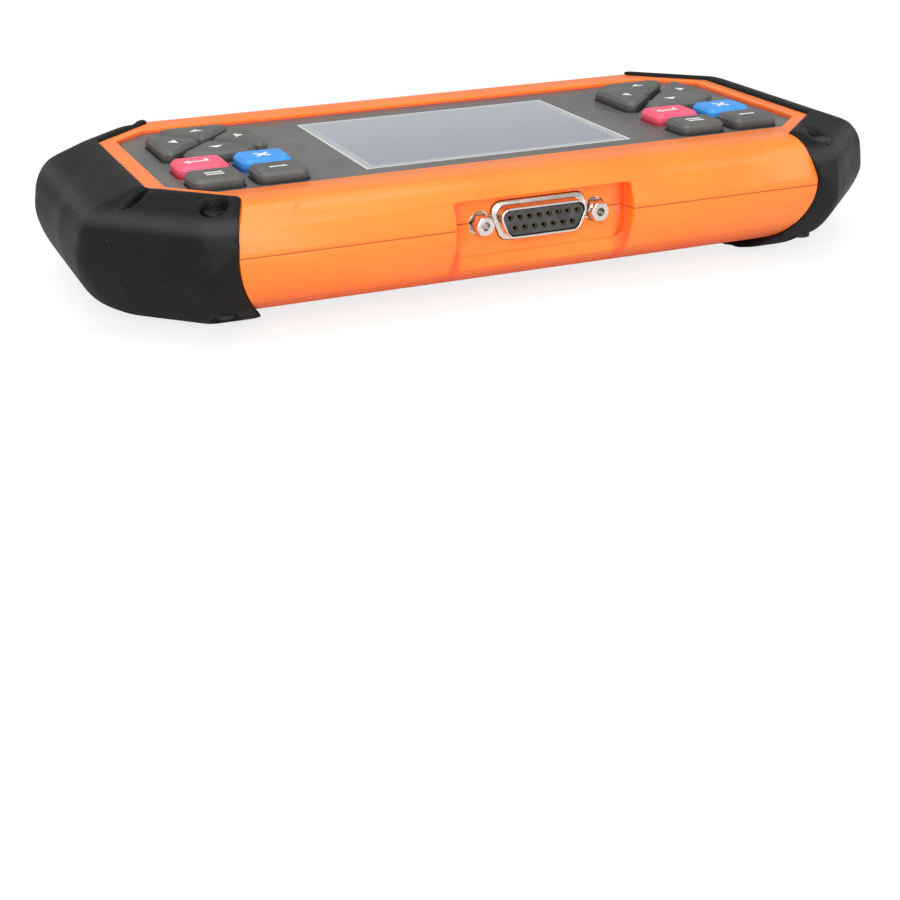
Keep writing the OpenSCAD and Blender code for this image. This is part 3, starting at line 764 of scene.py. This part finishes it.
def studio():
    """An evenly lit room, four softboxes, and a floor that looks near white to the camera only."""
    floor_size, floor_gap = 12, 0.0004
    scene = bpy.context.scene
    scene.view_settings.view_transform = "Standard"
    world = bpy.data.worlds.new("soft_studio")
    scene.world = world
    world.use_nodes = True
    room = world.node_tree.nodes["Background"].inputs
    room["Color"].default_value = (1, 1, 1, 1)
    room["Strength"].default_value = 0.52

    bpy.ops.object.select_all(action="DESELECT")
    bpy.ops.mesh.primitive_plane_add(size=floor_size, location=(0, 0, BASE_Z - floor_gap))
    floor = bpy.context.object
    floor.name = "pale_floor"
    paper = bpy.data.materials.new("pale_paper")
    paper.use_nodes = True
    nodes = paper.node_tree.nodes
    links = paper.node_tree.links
    shader = nodes["Principled BSDF"]
    shader.inputs["Base Color"].default_value = (0.7, 0.7, 0.7, 1)
    shader.inputs["Roughness"].default_value = 0.9
    seen = nodes.new("ShaderNodeBsdfDiffuse")
    seen.inputs["Color"].default_value = (0.25, 0.25, 0.25, 1)
    glow = nodes.new("ShaderNodeEmission")
    glow.inputs["Color"].default_value = (1, 1, 1, 1)
    glow.inputs["Strength"].default_value = 0.8
    bright = nodes.new("ShaderNodeAddShader")
    links.new(seen.outputs[0], bright.inputs[0])
    links.new(glow.outputs[0], bright.inputs[1])
    path = nodes.new("ShaderNodeLightPath")
    pick = nodes.new("ShaderNodeMixShader")
    links.new(path.outputs["Is Camera Ray"], pick.inputs["Fac"])
    links.new(shader.outputs[0], pick.inputs[1])
    links.new(bright.outputs[0], pick.inputs[2])
    links.new(pick.outputs[0], nodes["Material Output"].inputs["Surface"])
    floor.data.materials.append(paper)

    softbox("top_softbox", (-0.15, -0.2, 0.9), (0, 0, 0), (0.9, 0.6), 4.6)
    softbox("front_softbox", (-0.45, -0.9, 0.55), (0, 0, 0.02), (0.8, 0.4), 6.2)
    softbox("low_softbox", (-0.2, -1.1, 0.08), (0, 0, 0.02), (0.8, 0.16), 2.2)
    softbox("right_softbox", (0.9, -0.5, 0.35), (0.08, 0, 0.02), (0.5, 0.5), 1.8)


def viewpoint():
    """A camera in front, above and to the left, with the axes of its view given in full."""
    data = bpy.data.cameras.new("studio_camera")
    camera = bpy.data.objects.new("studio_camera", data)
    bpy.context.scene.collection.objects.link(camera)
    data.sensor_width = 36
    data.lens = 69.05
    data.clip_start = 0.01
    right = Vector((0.92176, -0.38746, -0.01513))
    up = Vector((0.16487, 0.35632, 0.91970))
    back = Vector((-0.35096, -0.85024, 0.39232))
    turn = Matrix((right, up, back)).transposed().to_4x4()
    stand = (-0.19169, -0.45295, 0.14548)
    camera.matrix_world = Matrix.Translation(stand) @ turn
    bpy.context.scene.camera = camera


viewpoint()
studio()
for side in SIDES:
    rounded_boot(side)
eased_shell("upper_shell")
eased_shell("lower_shell")
eased_plate()
add_keys()
eased_part("connector_shell", "d_shell", NICKEL, D_SHELL_EDGE)
turned_jackscrews()
eased_part("connector_insulator", "d_insulator", BLACK, INSULATOR_EDGE)
paint("display_window", GLASS)
for cad_node, finish in (("lcd_frame", TINNED), ("lcd_panel", PANEL), ("panel_board", BOARD),
                         ("main_board", BOARD), ("left_keypad_mat", MAT), ("right_keypad_mat", MAT),
                         ("key_domes", TINNED), ("board_spacers", TINNED), ("board_screws", TINNED),
                         ("board_link", BLACK), ("connector_contacts", GOLD),
                         ("connector_brackets", NICKEL), ("top_screws", SCREW),
                         ("bottom_screws", SCREW)):
    paint(cad_node, finish)
